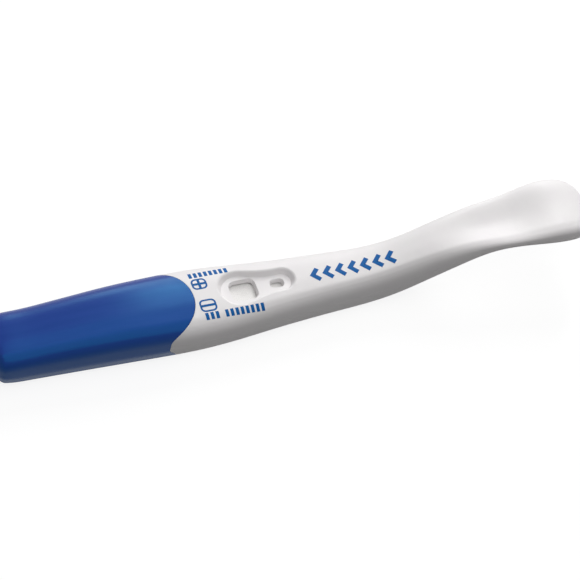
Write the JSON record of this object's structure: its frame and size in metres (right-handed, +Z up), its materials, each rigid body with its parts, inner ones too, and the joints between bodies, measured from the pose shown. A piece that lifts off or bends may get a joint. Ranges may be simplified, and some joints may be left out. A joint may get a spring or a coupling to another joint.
{
  "type": "midstream lateral flow test stick",
  "caption": "Slim white test stick with a sunken reading well, a dished thumb rest and a blue pull-off cap over its absorbent sampler.",
  "frame": {"origin": "on the surface it rests on, under the middle of the capped stick", "axes": "+X from the closed end of the cap towards the thumb rest, +Y across the stick, +Z up through the reading windows"},
  "size_m": [0.1464, 0.019, 0.0179],
  "materials": {
    "white_plastic": "satin",
    "blue_plastic": "satin gloss",
    "absorbent_fibre": "matte, fibrous",
    "backing_card": "smooth",
    "conjugate_fibre": "matte glass fibre",
    "membrane": "fine matte",
    "clear_film": "clear, glossy",
    "desiccant": "chalky"
  },
  "bodies": {
    "stick": {"upper_casing": "white_plastic", "lower_casing": "white_plastic", "sampler_wick": "absorbent_fibre", "strip_backing": "backing_card", "conjugate_pad": "conjugate_fibre", "membrane": "membrane", "sink_pad": "absorbent_fibre", "cover_film": "clear_film", "desiccant_tablet": "desiccant"},
    "cap": {"cap": "blue_plastic"}
  },
  "joints": [
    {"name": "cap_pull", "type": "slide", "parent": "stick", "child": "cap", "axis": [-1, 0, 0], "range_m": [0, 0.045]}
  ]
}
